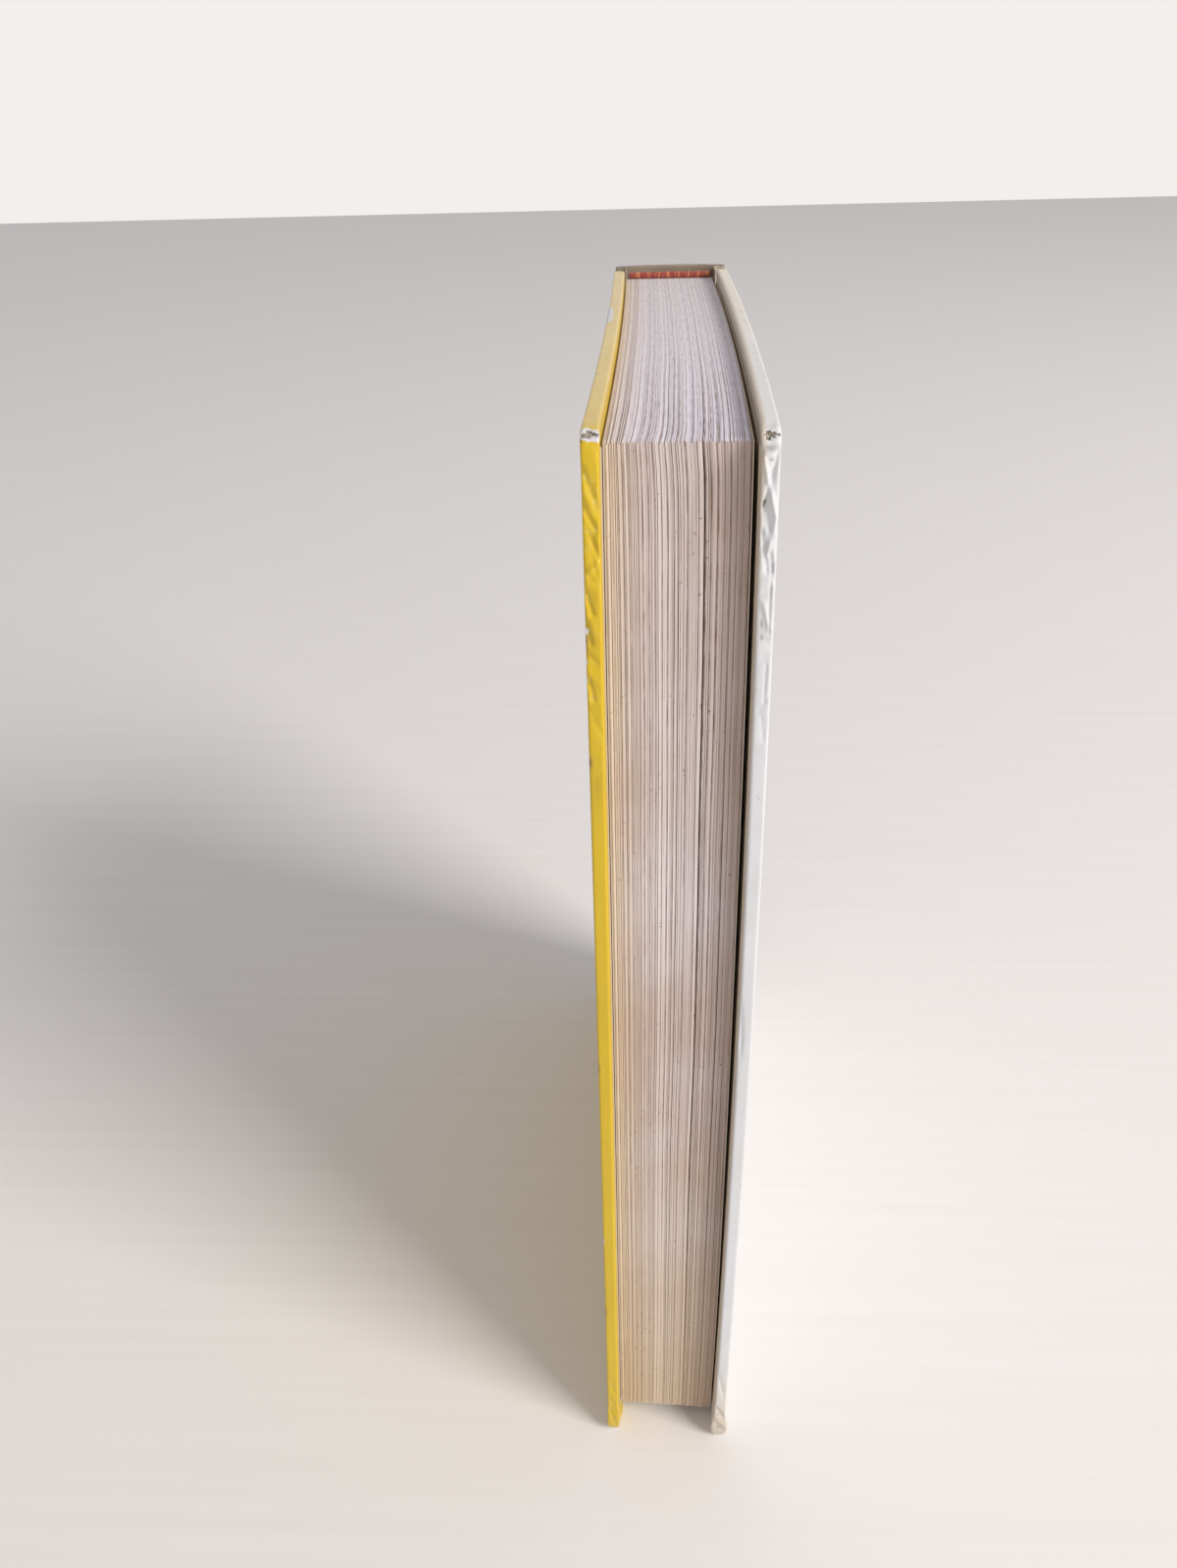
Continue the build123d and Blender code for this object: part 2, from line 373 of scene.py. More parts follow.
# printed paper under a glossy film: clean colour, soft shine, white paper core where it's scuffed through
def filmedPaper(name, colour, shade, scuff, fade, roughness):
    material, tree, place = newMaterial(name)
    worn, creased, grime, faded = (
        addNode(tree, "ShaderNodeAttribute", attribute_name=mark).outputs["Fac"]
        for mark in ("worn", "creased", "grime", "faded")
    )
    # clouds of 14 mm, rub marks of 1 mm and specks of dirt of 3 mm and less
    cloud, rub, dirt = (
        addNode(tree, "ShaderNodeTexNoise", {"Vector": place, "Scale": scale, "Detail": detail})
        for scale, detail in ((70.0, 4.0), (900.0, 3.0), (320.0, 3.0))
    )
    ragged = addNode(tree, "ShaderNodeMath", {0: worn, 1: rub}, operation="ADD")
    clouded, mottled, specks, rubSpots, bare = (
        addNode(tree, "ShaderNodeMapRange", {
            "Value": value, "From Min": start, "From Max": end, "To Min": weak, "To Max": strong,
        })
        for value, start, end, weak, strong in (
            (cloud, 0.3, 0.75, 0.0, 1.0), (dirt, 0.3, 0.6, 0.5, 1.0), (dirt, 0.7, 0.78, 0.0, 0.6),
            (rub, 0.5, 0.75, 0.0, 1.0), (ragged, 0.95, 1.1, 0.0, 1.0),
        )
    )
    fading = addNode(tree, "ShaderNodeMath", {0: faded, 1: mottled}, operation="MULTIPLY")
    rubbed = addNode(tree, "ShaderNodeMath", {0: creased, 1: rubSpots}, operation="MULTIPLY")
    rubbed = addNode(tree, "ShaderNodeMath", {0: rubbed, 1: 0.4}, operation="MULTIPLY")
    # the brown grime colour holds real dirt and nicks, and also painted shade on the spine and turn-ins
    shown = hexLinear(colour)
    for amount, over in (
        (clouded, shade), (fading, fade), (specks, "#6B5C4E"), (grime, "#6E5B4A"), (rubbed, scuff),
        (bare, "#DAD8D8"),
    ):
        shown = addNode(tree, "ShaderNodeMix", {0: amount, 6: shown, 7: hexLinear(over)}, data_type="RGBA").outputs[2]
    dull = addNode(tree, "ShaderNodeMapRange", {"Value": bare, "To Min": roughness, "To Max": 0.85})
    film = {"Specular_IOR_Level": 0.45, "Coat_Weight": 0.12, "Coat_Roughness": 0.3}
    return finishMaterial(material, shown, dull, cloud, 0.06, **film)


# greyboard and kraft: pressed pulp, matt, with short darker fibres 0.3 mm wide and 1 mm long
def pulpBoard(name, colour, fibre):
    material, tree, place = newMaterial(name)
    stretched = addNode(tree, "ShaderNodeMapping", {"Vector": place, "Scale": (3000.0, 900.0, 900.0)})
    fibres = addNode(tree, "ShaderNodeTexNoise", {"Vector": stretched, "Scale": 1.0, "Detail": 4.0})
    mixed = addNode(tree, "ShaderNodeMapRange", {"Value": fibres, "From Min": 0.4, "From Max": 0.65})
    layered = addNode(tree, "ShaderNodeMix", {0: mixed, 6: hexLinear(colour), 7: hexLinear(fibre)}, data_type="RGBA")
    shown = layered.outputs[2]
    return finishMaterial(material, shown, 0.95, fibres, 0.15, Specular_IOR_Level=0.2)


# uncoated endpaper: heavier and smoother than the leaves, toned brown towards the edges by the cover
def endpaperStock(name, colour, shade):
    material, tree, place = newMaterial(name)
    axes = addNode(tree, "ShaderNodeSeparateXYZ", {0: place}).outputs
    fibres = addNode(tree, "ShaderNodeTexNoise", {"Vector": place, "Scale": 1600.0, "Detail": 4.0})
    patches = addNode(tree, "ShaderNodeTexNoise", {"Vector": place, "Scale": 40.0, "Detail": 3.0})
    nearFore = addNode(tree, "ShaderNodeMapRange", {"Value": axes["Y"], "From Min": -0.05, "From Max": -0.085})
    middle = caseRise * mm / 2
    fromMiddle = addNode(tree, "ShaderNodeMath", {0: axes["Z"], 1: middle}, operation="SUBTRACT")
    distance = addNode(tree, "ShaderNodeMath", {0: fromMiddle}, operation="ABSOLUTE")
    nearEnds = addNode(tree, "ShaderNodeMapRange", {"Value": distance, "From Min": 0.095, "From Max": 0.122})
    toned = addNode(tree, "ShaderNodeMath", {0: nearFore, 1: nearEnds}, operation="MAXIMUM")
    blotched = addNode(tree, "ShaderNodeMath", {0: toned, 1: patches}, operation="MULTIPLY")
    layered = addNode(
        tree, "ShaderNodeMix", {0: blotched, 6: hexLinear(colour), 7: hexLinear(shade)}, data_type="RGBA"
    )
    shown = layered.outputs[2]
    return finishMaterial(material, shown, 0.88, fibres, 0.03, Specular_IOR_Level=0.3)


# sewing cotton and band silk: each wrap of the band has its own dye tone, with a soft fuzzy sheen
def bandThread(name):
    material, tree, place = newMaterial(name)
    tone = addNode(tree, "ShaderNodeAttribute", attribute_name="threadTone").outputs["Fac"]
    twist = addNode(tree, "ShaderNodeTexNoise", {"Vector": place, "Scale": 2500.0, "Detail": 2.0})
    yellowed = addNode(tree, "ShaderNodeMapRange", {"Value": tone, "From Min": 0.6, "From Max": 0.72})
    faded = addNode(tree, "ShaderNodeMapRange", {"Value": twist, "From Min": 0.45, "From Max": 0.7, "To Max": 0.5})
    shown = hexLinear("#A8382B")
    for amount, over in ((yellowed, "#CE7F4A"), (faded, "#C79A8C")):
        shown = addNode(tree, "ShaderNodeMix", {0: amount, 6: shown, 7: hexLinear(over)}, data_type="RGBA").outputs[2]
    return finishMaterial(material, shown, 0.8, twist, 0.05, Sheen_Weight=0.3)


# mull: open-weave cotton stiffened with glue, its 1 mm weave drawn coarser, with threads 2 and 4 mm apart
def glueGauze(name):
    material, tree, place = newMaterial(name)
    warpWave, weftWave = (
        addNode(tree, "ShaderNodeTexWave", {"Vector": place, "Scale": 160.0}, bands_direction=way).outputs["Fac"]
        for way in ("Z", "DIAGONAL")
    )
    threads = addNode(tree, "ShaderNodeMath", {0: warpWave, 1: weftWave}, operation="MAXIMUM")
    layered = addNode(
        tree, "ShaderNodeMix", {0: threads, 6: hexLinear("#BBAA85"), 7: hexLinear("#DDD3BF")}, data_type="RGBA"
    )
    shown = layered.outputs[2]
    return finishMaterial(material, shown, 0.85, threads, 0.1)


leafPaper = bookPaper("agedBookPaper", "#E9DFDF", "#DBC9BE", "#EFEBF5", "#E0DADC")
yellowFilm = filmedPaper("yellowFilmedPaper", "#DCBA1C", "#D3B11C", "#F4E8A0", "#DFCCA4", 0.38)
whiteFilm = filmedPaper("whiteFilmedPaper", "#E2E4E7", "#DADBDD", "#BDB6AE", "#E2D5BC", 0.38)
greyBoard = pulpBoard("greyBoard", "#ADA598", "#7C7165")
krafted = pulpBoard("kraftPaper", "#A98458", "#8A6840")
endPaper = endpaperStock("endPaper", "#E2D8C8", "#BFA789")
bandYarn = bandThread("bandThread")
mull = glueGauze("glueGauze")
print("materials ready")


# one leaf bundle: a closed slab of two sheets, cut finely round its edges so that it can bend
leafStack = {
    "bundles": 128, "fill": 0.99, "sectionLeaves": 5.5, "thinShare": 0.24, "thinFill": 0.8, "foreDrop": 0.35,
    "headDrop": 0.7, "foreCuts": 56, "headCuts": 34, "backCuts": 4, "rim": 5.0, "seed": 7,
}


def leafPattern(thickness):
    halfRise = leafRise / 2
    foreCuts, headCuts, backCuts = (leafStack[k] for k in ("foreCuts", "headCuts", "backCuts"))
    rimPoints = [(-leafRun, z) for z in np.linspace(halfRise, -halfRise, foreCuts, endpoint=False)]
    rimPoints += [(y, -halfRise) for y in np.linspace(-leafRun, 0, headCuts, endpoint=False)]
    rimPoints += [(0, z) for z in np.linspace(-halfRise, halfRise, backCuts, endpoint=False)]
    rimPoints += [(y, halfRise) for y in np.linspace(0, -leafRun, headCuts, endpoint=False)]
    count = len(rimPoints)
    shrinkY = 1 - 2 * leafStack["rim"] / leafRun
    shrinkZ = 1 - 2 * leafStack["rim"] / leafRise
    points, faces = [], []
    for side in (-thickness / 2, thickness / 2):
        points += [(side, y, z) for y, z in rimPoints]
        points += [(side, -leafRun / 2 + (y + leafRun / 2) * shrinkY, z * shrinkZ) for y, z in rimPoints]
    for i in range(count):
        j = (i + 1) % count
        faces.append((i, j, 2 * count + j, 2 * count + i))
        faces.append((i, count + i, count + j, j))
        faces.append((2 * count + i, 2 * count + j, 3 * count + j, 3 * count + i))
    # inside the rim the sheet is cut in columns from tail to head, so that it can bow across its width
    tailRow = [foreCuts + i for i in range(headCuts)]
    headRow = [(2 * foreCuts + 2 * headCuts + backCuts - foreCuts - i) % count for i in range(headCuts)]
    for base in (count, 3 * count):
        first = list(range(foreCuts + 1)) + [tailRow[1], headRow[1]]
        faces.append(tuple(base + i for i in first))
        for i in range(1, headCuts - 1):
            faces.append((base + tailRow[i], base + tailRow[i + 1], base + headRow[i + 1], base + headRow[i]))
        last = [tailRow[-1]] + list(range(foreCuts + headCuts, foreCuts + headCuts + backCuts + 1)) + [headRow[-1]]
        faces.append(tuple(base + i for i in last))
    leaf = meshObject("leafPattern", points, faces, None, smooth=False)
    faceOutward(leaf)
    return leaf


def leafStackTree():
    tree = bpy.data.node_groups.new("leafStack", "GeometryNodeTree")
    given = addSockets(
        tree,
        {
            "Leaf": "Object", "Bundles": "Int", "Pitch": "Float", "Fore Drop": "Float", "Head Drop": "Float",
            "Section": "Float", "Thin Share": "Float", "Thin Fill": "Float", "Seed": "Int", "Paper": "Material",
        },
    )
    leaf = addNode(tree, "GeometryNodeObjectInfo", {"Object": given["Leaf"]}).outputs["Geometry"]
    start = addNode(tree, "ShaderNodeMath", {0: given["Pitch"], 1: 0.5}, operation="MULTIPLY")
    first = addNode(tree, "ShaderNodeCombineXYZ", {"X": start})
    step = addNode(tree, "ShaderNodeCombineXYZ", {"X": given["Pitch"]})
    row = addNode(tree, "GeometryNodeMeshLine", {"Count": given["Bundles"], "Start Location": first, "Offset": step})
    shares = []
    for shift, power, drop in ((0, 3.0, "Fore Drop"), (1, 2.5, "Head Drop")):
        seed = addNode(tree, "ShaderNodeMath", {0: given["Seed"], 1: float(shift)})
        chance = addNode(tree, "FunctionNodeRandomValue", {2: 0.0, 3: 1.0, 8: seed}, data_type="FLOAT").outputs[1]
        rare = addNode(tree, "ShaderNodeMath", {0: chance, 1: power}, operation="POWER")
        lost = addNode(tree, "ShaderNodeMath", {0: rare, 1: given[drop]}, operation="MULTIPLY")
        shares.append(addNode(tree, "ShaderNodeMath", {0: 1.0, 1: lost}, operation="SUBTRACT"))
    # each section ends in a thin bundle, which leaves a narrow dark parting beside it
    toneSeed = addNode(tree, "ShaderNodeMath", {0: given["Seed"], 1: 2.0})
    spread = addNode(tree, "FunctionNodeRandomValue", {2: 0.0, 3: 1.0, 8: toneSeed}, data_type="FLOAT").outputs[1]
    order = addNode(tree, "GeometryNodeInputIndex")
    loose = addNode(tree, "ShaderNodeMath", {0: spread, 1: 0.7}, operation="MULTIPLY")
    shifted = addNode(tree, "ShaderNodeMath", {0: order, 1: loose})
    inSection = addNode(tree, "ShaderNodeMath", {0: shifted, 1: given["Section"]}, operation="MODULO")
    last = addNode(tree, "ShaderNodeMath", {0: inSection, 1: 1.1}, operation="LESS_THAN")
    low = addNode(tree, "ShaderNodeMath", {0: spread, 1: 0.22}, operation="MULTIPLY")
    high = addNode(tree, "ShaderNodeMapRange", {"Value": spread, "To Min": 0.2})
    tone = addNode(tree, "ShaderNodeMix", {0: last, 2: high, 3: low})
    thin = addNode(tree, "ShaderNodeMath", {0: tone, 1: given["Thin Share"]}, operation="LESS_THAN")
    fill = addNode(tree, "ShaderNodeMix", {0: thin, 2: 1.0, 3: given["Thin Fill"]})
    trimmed = addNode(tree, "ShaderNodeCombineXYZ", {"X": fill, "Y": shares[0], "Z": shares[1]})
    stacked = addNode(tree, "GeometryNodeInstanceOnPoints", {"Points": row, "Instance": leaf, "Scale": trimmed})
    toned = addNode(
        tree, "GeometryNodeStoreNamedAttribute", {"Geometry": stacked, "Name": "leafTone", "Value": tone},
        data_type="FLOAT", domain="INSTANCE",
    )
    solid = addNode(tree, "GeometryNodeRealizeInstances", {0: toned})
    papered = addNode(tree, "GeometryNodeSetMaterial", {"Geometry": solid, "Material": given["Paper"]})
    addNode(tree, "NodeGroupOutput", {0: papered})
    return tree


blockThickness = leavesHigh[0] - leavesLow[0]
leafPitch = blockThickness / leafStack["bundles"]
pattern = leafPattern(leafPitch * leafStack["fill"])
leaves = growPiece(
    "leaves",
    leafStackTree(),
    {
        "Leaf": pattern, "Bundles": leafStack["bundles"], "Pitch": leafPitch * mm,
        "Fore Drop": leafStack["foreDrop"] / leafRun, "Head Drop": leafStack["headDrop"] / leafRise,
        "Section": leafStack["sectionLeaves"], "Thin Share": leafStack["thinShare"],
        "Thin Fill": leafStack["thinFill"], "Seed": leafStack["seed"], "Paper": leafPaper,
    },
)
bpy.data.objects.remove(pattern)

# places where the leaves have parted: (share of the thickness, gap, lowest and highest share of the height)
partings = [
    (0.085, 0.05, 0.0, 1.0), (0.20, 0.10, 0.0, 1.0), (0.285, 0.05, 0.35, 1.0), (0.36, 0.10, 0.0, 1.0),
    (0.43, 0.06, 0.3, 1.0), (0.505, 0.13, 0.0, 1.0), (0.58, 0.06, 0.4, 0.95), (0.685, 0.17, 0.0, 1.0),
    (0.75, 0.13, 0.0, 0.45), (0.80, 0.05, 0.2, 0.8), (0.87, 0.12, 0.05, 0.75), (0.94, 0.10, 0.0, 0.5),
    (0.965, 0.10, 0.0, 0.45), (0.985, 0.08, 0.0, 0.4),
]


def bendLeaves(points):
    x, y, z = points[:, 0].copy(), points[:, 1] + leavesHigh[1], points[:, 2] + (leavesLow[2] + leavesHigh[2]) / 2
    share = x / blockThickness
    # the leaves are tight at the spine, so their edges stand level there and step only towards the fore-edge
    level = 0.15 + 0.85 * easeOut(y - leavesLow[1], 32)
    nearTop, nearBottom = z > leavesHigh[2] - 3, z < leavesLow[2] + 3
    z = np.where(nearTop, leavesHigh[2] - (leavesHigh[2] - z) * level, z)
    z = np.where(nearBottom, leavesLow[2] + (z - leavesLow[2]) * level, z)
    leafNumber = np.floor(share * leafStack["bundles"]) / leafStack["bundles"]
    along, up = alongAndUp(y, z)
    opened = np.zeros(len(x))
    total = np.zeros(len(x))
    for where, gap, lowUp, highUp in partings:
        here = gap * unit((up - lowUp) / 0.08 + 0.5) * unit((highUp - up) / 0.08 + 0.5)
        here = here * (1 - along) ** 1.5 * unit(0.15 + 2.2 * up)
        opened += here * (leafNumber >= where)
        total += here
    width = blockThickness + leavesBow(y, z) - frontBow(y, z) - total
    middle = 4 * share * (1 - share)
    wave = middle * (
        0.12 * np.sin(z / 26 + 4 * share) + 0.03 * np.sin(z / 8 + 11 * share) + 0.10 * np.sin(y / 9 + 8 * share)
    ) * (1 - along) * (0.4 + 0.6 * up)
    fromFore, fromHead = y - leavesLow[1], leavesHigh[2] - z
    lean = -0.55 * np.exp(-fromFore / 7) * easeOut(fromHead, 5) * middle
    ease = warp["frontEase"] * (1 - share)
    newX = leavesLow[0] + frontBow(y, z) + share * width + opened + wave + lean - ease
    sag = (warp["tailLift"] - warp["tailSlant"] * share) * (1 - up) ** 3 * (1 - along)
    return np.stack([newX, y, z + sag], 1)


points = np.array([v.co for v in leaves.data.vertices]) / mm
storeValues(leaves, leafPlace=points[:, 0])
leaves.data.vertices.foreach_set("co", (bendLeaves(points) * mm).ravel())
leaves.data.update()
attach(leaves, "block")
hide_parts("text_block")
print("leaves ready", len(leaves.data.polygons))


def thinSheet(name, low, high, ys, zs, bend, material):
    # a closed sheet between two corners, cut along ys and zs and bent by a function of its points
    points, faces = boxSurface([low[0], high[0]], ys, zs)
    sheet = meshObject(name, bend(points), faces, material, smooth=False)
    faceOutward(sheet)
    return sheet


# the free endpapers: single leaves that lie against the block, the back one springing off it at the head
flyleafBend = {"cut": 4.0, "lift": 0.12}


def bendFlyleaf(points, side):
    y, z = points[:, 1], points[:, 2]
    if side == "front":
        shift = frontBow(y, z) - warp["frontEase"]
    else:
        lift = flyleafBend["lift"] * np.exp(-(y - leavesLow[1]) / 18) * (0.35 + 0.65 * unit(z / caseRise))
        shift = leavesBow(y, z) + lift
    return np.stack([points[:, 0] + shift, y, z], 1)


for side in ("front", "back"):
    low, high = boxMm(side + "_flyleaf")
    flyleaf = thinSheet(
        side + "Flyleaf", low, high,
        gridLines(low[1], high[1], flyleafBend["cut"]), gridLines(low[2], high[2], flyleafBend["cut"]),
        lambda points, side=side: bendFlyleaf(points, side), endPaper,
    )
    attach(flyleaf, "block")
    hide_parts(side + "_flyleaf")
print("flyleaves ready")


# each cover: folds and hard knocks on its fore-edge, as lines of (depth, height, depth, height, width, dent)
cover = {
    "sheet": 0.2, "turnIn": 15.0, "edgeRound": 0.45, "cornerRound": 2.0, "inset": 0.22, "dentDepth": 1.45,
    "dentMost": 0.5, "foreInset": 0.6,
}
coverMarks = {
    "front": {
        "bow": frontBow, "sign": 1, "rippleSeed": 3, "crumpleSeed": 14, "knock": 0.9, "press": 0.8,
        "tailSwell": 0.4, "blunt": 1.1, "unstuck": 0.75, "scuff": 1.5, "torn": 0.75,
        "folds": [
            (0.2, 236.5, 2.3, 230.0, 0.30, 0.18), (0.1, 231.0, 1.9, 227.5, 0.35, 0.28),
            (1.0, 227.0, 2.4, 223.0, 0.30, 0.20), (0.3, 220.5, 2.3, 222.6, 0.30, -0.20),
            (0.2, 218.0, 1.2, 214.5, 0.30, 0.24), (0.1, 213.0, 0.8, 209.5, 0.35, 0.32),
            (0.5, 207.5, 1.6, 206.3, 0.30, 0.16), (0.3, 203.5, 1.0, 200.0, 0.30, 0.20),
            (1.2, 196.0, 2.2, 193.5, 0.35, 0.06), (0.5, 14.0, 2.0, 8.0, 0.30, 0.10),
            (0.6, 20.0, 2.1, 15.0, 0.30, 0.08), (0.5, 10.0, 1.6, 4.0, 0.30, 0.14),
        ],
        "nicks": [(0.15, 211.5, 0.3, 0.5), (0.1, 206.5, 0.2, 0.4), (0.2, 70.0, 0.2, 0.3)],
        "grime": [
            (0.0, 210.2, 0.45, 1.5, 1.0), (0.0, 188.6, 0.5, 1.0, 1.0), (0.0, 120.5, 0.3, 0.5, 0.9),
            (0.0, 84.0, 0.3, 0.4, 0.9), (0.1, 46.0, 0.3, 0.6, 0.8), (1.3, 184.0, 0.6, 2.0, 0.15),
        ],
    },
    "back": {
        "bow": backBow, "sign": -1, "rippleSeed": 4, "crumpleSeed": 19, "knock": 1.3, "press": 1.4,
        "tailSwell": 1.5, "blunt": 1.7, "unstuck": 0.2, "scuff": 0.9, "torn": 0.3,
        "folds": [
            (2.4, 238.0, 0.4, 229.5, 0.22, -0.26), (0.3, 239.0, 2.1, 230.5, 0.25, 0.24),
            (2.2, 231.5, 0.9, 226.5, 0.30, 0.22), (0.3, 229.0, 1.5, 223.5, 0.22, -0.20),
            (2.2, 227.0, 1.3, 221.0, 0.25, 0.20), (1.0, 224.0, 0.2, 219.5, 0.22, 0.16),
            (0.6, 222.0, 0.75, 213.8, 0.12, 0.14), (0.75, 213.8, 0.5, 211.0, 0.12, 0.12),
            (1.6, 216.0, 0.7, 212.0, 0.25, -0.18), (0.85, 206.0, 0.95, 199.5, 0.12, 0.12),
            (1.3, 197.0, 0.9, 193.0, 0.25, 0.08), (2.3, 136.0, 2.0, 126.0, 0.25, 0.14),
            (1.9, 130.0, 2.3, 124.0, 0.25, 0.10), (2.2, 24.0, 0.8, 17.0, 0.30, 0.12),
            (2.4, 12.5, 0.5, 8.6, 0.28, 0.22), (2.2, 9.0, 0.4, 5.5, 0.25, -0.12), (2.0, 6.2, 0.5, 3.4, 0.28, 0.20),
        ],
        "nicks": [(0.6, 5.0, 0.35, 0.6)],
        "grime": [
            (1.85, 212.8, 0.16, 0.7, 0.7), (1.75, 210.6, 0.2, 0.5, 0.6), (1.2, 237.6, 0.3, 0.3, 0.6),
            (0.68, 218.0, 0.10, 3.4, 0.6), (0.6, 212.2, 0.10, 1.2, 0.6), (0.9, 203.0, 0.10, 3.0, 0.45),
            (1.7, 9.9, 0.45, 0.35, 0.7), (1.4, 4.8, 0.5, 0.3, 0.6), (1.3, 3.5, 3.0, 7.0, 0.20),
            (1.4, 239.4, 0.9, 0.5, 0.6), (2.3, 238.4, 0.3, 1.2, 0.6),
        ],
    },
}


def foldAmount(depth, height, lines):
    # how deep and how sharp the folds run at each point of a cover's edge
    amount, dent = np.zeros(len(depth)), np.zeros(len(depth))
    spot = np.stack([depth, height], 1)
    for d0, z0, d1, z1, width, push in lines:
        start, run = np.array([d0, z0]), np.array([d1 - d0, z1 - z0])
        t = unit(((spot - start) @ run) / (run @ run))
        gap = np.linalg.norm(spot - start - t[:, None] * run, axis=1)
        near = bell(gap, width)
        amount = np.maximum(amount, near)
        dent += cover["dentDepth"] * push * bell(gap, 1.4 * width)
    return amount, np.clip(dent, -cover["dentMost"], cover["dentMost"])


def spotAmount(depth, height, spots):
    amount = np.zeros(len(depth))
    for d0, z0, reachD, reachZ, *strength in spots:
        near = np.exp(-(((depth - d0) / reachD) ** 2) - ((height - z0) / reachZ) ** 2)
        amount = np.maximum(amount, near * (strength[0] if strength else 1.0))
    return amount


def coverPlace(points, side):
    # turns depth under the cover's outer face into a place across the book
    marks = coverMarks[side]
    outer = coverLow[side][0] if side == "front" else coverHigh[side][0]
    bow = marks["bow"](points[:, 1], points[:, 2])
    return np.stack([outer + marks["sign"] * points[:, 0] + bow, points[:, 1], points[:, 2]], 1)


def batterCover(points, side):
    # knocks the corners in and presses the folds; points hold (depth, y, z)
    marks = coverMarks[side]
    depth, y, z = points.T.copy()
    fromFore, fromHead, fromTail = y - foreEdge, caseRise - z, z
    folds, dents = foldAmount(depth, z, marks["folds"])
    nearFore = easeOut(fromFore, 0.9)
    headCorner = unit(1 - np.hypot(fromFore, fromHead) / 6) ** 2
    tailCorner = unit(1 - np.hypot(fromFore, fromTail) / 5) ** 2
    ripple = grain(points, 5.0, marks["rippleSeed"])
    fineRipple = grain(points, 1.3, seeds["fine"])
    battered = 0.4 + 0.6 * unit((z - 185) / 20) + 0.5 * unit((25 - z) / 20)
    slanted = np.stack([0.9 * depth + 0.45 * z, y, 0.5 * z], 1)
    crumple = (1 - np.abs(grain(slanted, 2.4, marks["crumpleSeed"]))) ** 5
    y = y + nearFore * (dents + battered * (0.10 * ripple + 0.03 * fineRipple + 0.20 * crumple * battered))
    folds = np.maximum(folds, 0.5 * battered * crumple)
    # the case has slewed a little, so its fore-edge runs further forward at the tail
    y = y - warp["slew"][side] * unit(1 - z / 95) ** 2 * easeOut(fromFore, 45)
    y = y + headCorner * marks["knock"] + tailCorner * 0.5
    z = z - headCorner * marks["press"] * (0.8 + 0.4 * fineRipple) + tailCorner * 0.25
    nearEdge = np.exp(-np.minimum(fromHead, fromTail) / 0.7)
    z = z - np.sign(z - caseRise / 2) * nearEdge * (0.06 + 0.06 * fineRipple)
    swell = 0.35 * headCorner * (depth / 2.6 - 0.5)
    tailSwell = bell(z - 4.5, 3.5) * easeOut(fromFore, 3)
    swell = swell + marks["tailSwell"] * tailSwell * (depth / 2.6 - 0.5)
    blunt = (depth / 1.3 - 1) ** 2 * np.exp(-z / 1.3) * easeOut(fromFore, 3)
    z = z + marks["blunt"] * blunt
    # the tail turn-in of the front cover has come unstuck and stands off the board below the leaves
    loose = bell(z - 2.1, 1.3) * unit((fromFore - 1.5) / 2.5) * unit((40 - fromFore) / 20)
    swell = swell + marks["unstuck"] * loose * (depth > 1.8)
    depth = depth + swell
    cornerScuff = 1.25 * bell(np.hypot(fromFore, fromHead), marks["scuff"])
    worn = np.maximum(cornerScuff, bell(np.hypot(fromFore, fromTail), 1.2))
    if side == "front":
        rubbedEdge = np.exp(-(((points[:, 1] - 9) / 9) ** 4)) * bell(points[:, 0], 1.1)
        worn = np.maximum(worn, 1.3 * rubbedEdge * np.exp(-fromHead / 1.2))
    worn = np.maximum(worn, spotAmount(points[:, 0], points[:, 2], marks["nicks"]) * nearFore)
    worn = worn + 0.1 * ripple + 0.12 * nearEdge * (1 + fineRipple)
    grime = spotAmount(points[:, 0], points[:, 2], marks["grime"]) * nearFore
    grime = grime + 0.12 * nearEdge * unit(grain(points, 2.0, seeds["dirt"]) + 0.2)
    if side == "front":
        # the head edge is painted paler, the more so towards the spine, as a painted reflection of the glossy film;
        # the tail end is rubbed pale
        faded = bell(fromHead, 0.8) * (0.35 + 0.35 * unit(fromFore / 120))
        faded = np.maximum(faded, 0.9 * np.exp(-fromTail / 1.6) * nearFore)
    else:
        # the tail corner has gone cream with handling, and the head edge is slightly toned
        faded = bell(fromTail, 20) * easeOut(fromFore, 4)
        towardSpine = unit(fromFore / 130)
        faded = np.maximum(faded, bell(fromHead, 0.8) * (0.15 + 0.85 * towardSpine**2))
        # the inner face of the turn-in near the head is painted warm brown and darker: partly toning, partly painted
        # shade
        faded = np.maximum(faded, 0.9 * (points[:, 0] > 1.9) * np.exp(-fromHead / 15))
        grime = np.maximum(grime, 0.3 * (points[:, 0] > 1.9) * np.exp(-fromHead / 12) * (0.4 + 0.6 * towardSpine))
    marksOn = {"creased": unit(folds * nearFore), "worn": unit(worn), "grime": grime, "faded": faded}
    return np.stack([depth, y, z], 1), marksOn


def closeShell(shell, outward):
    # makes an open skin into paper; its outermost face before (-1) or behind (1) has to look out of the book
    shape = bmesh.new()
    shape.from_mesh(shell.data)
    bmesh.ops.delete(shape, geom=[v for v in shape.verts if not v.link_faces], context="VERTS")
    bmesh.ops.recalc_face_normals(shape, faces=shape.faces)
    outermost = max(shape.faces, key=lambda face: outward * face.calc_center_median().y)
    if outward * outermost.normal.y < 0:
        bmesh.ops.reverse_faces(shape, faces=shape.faces)
    shape.to_mesh(shell.data)
    shape.free()
    solid = shell.modifiers.new("paper", "SOLIDIFY")
    solid.thickness = cover["sheet"] * mm
    solid.offset = -1
    flatten(shell)


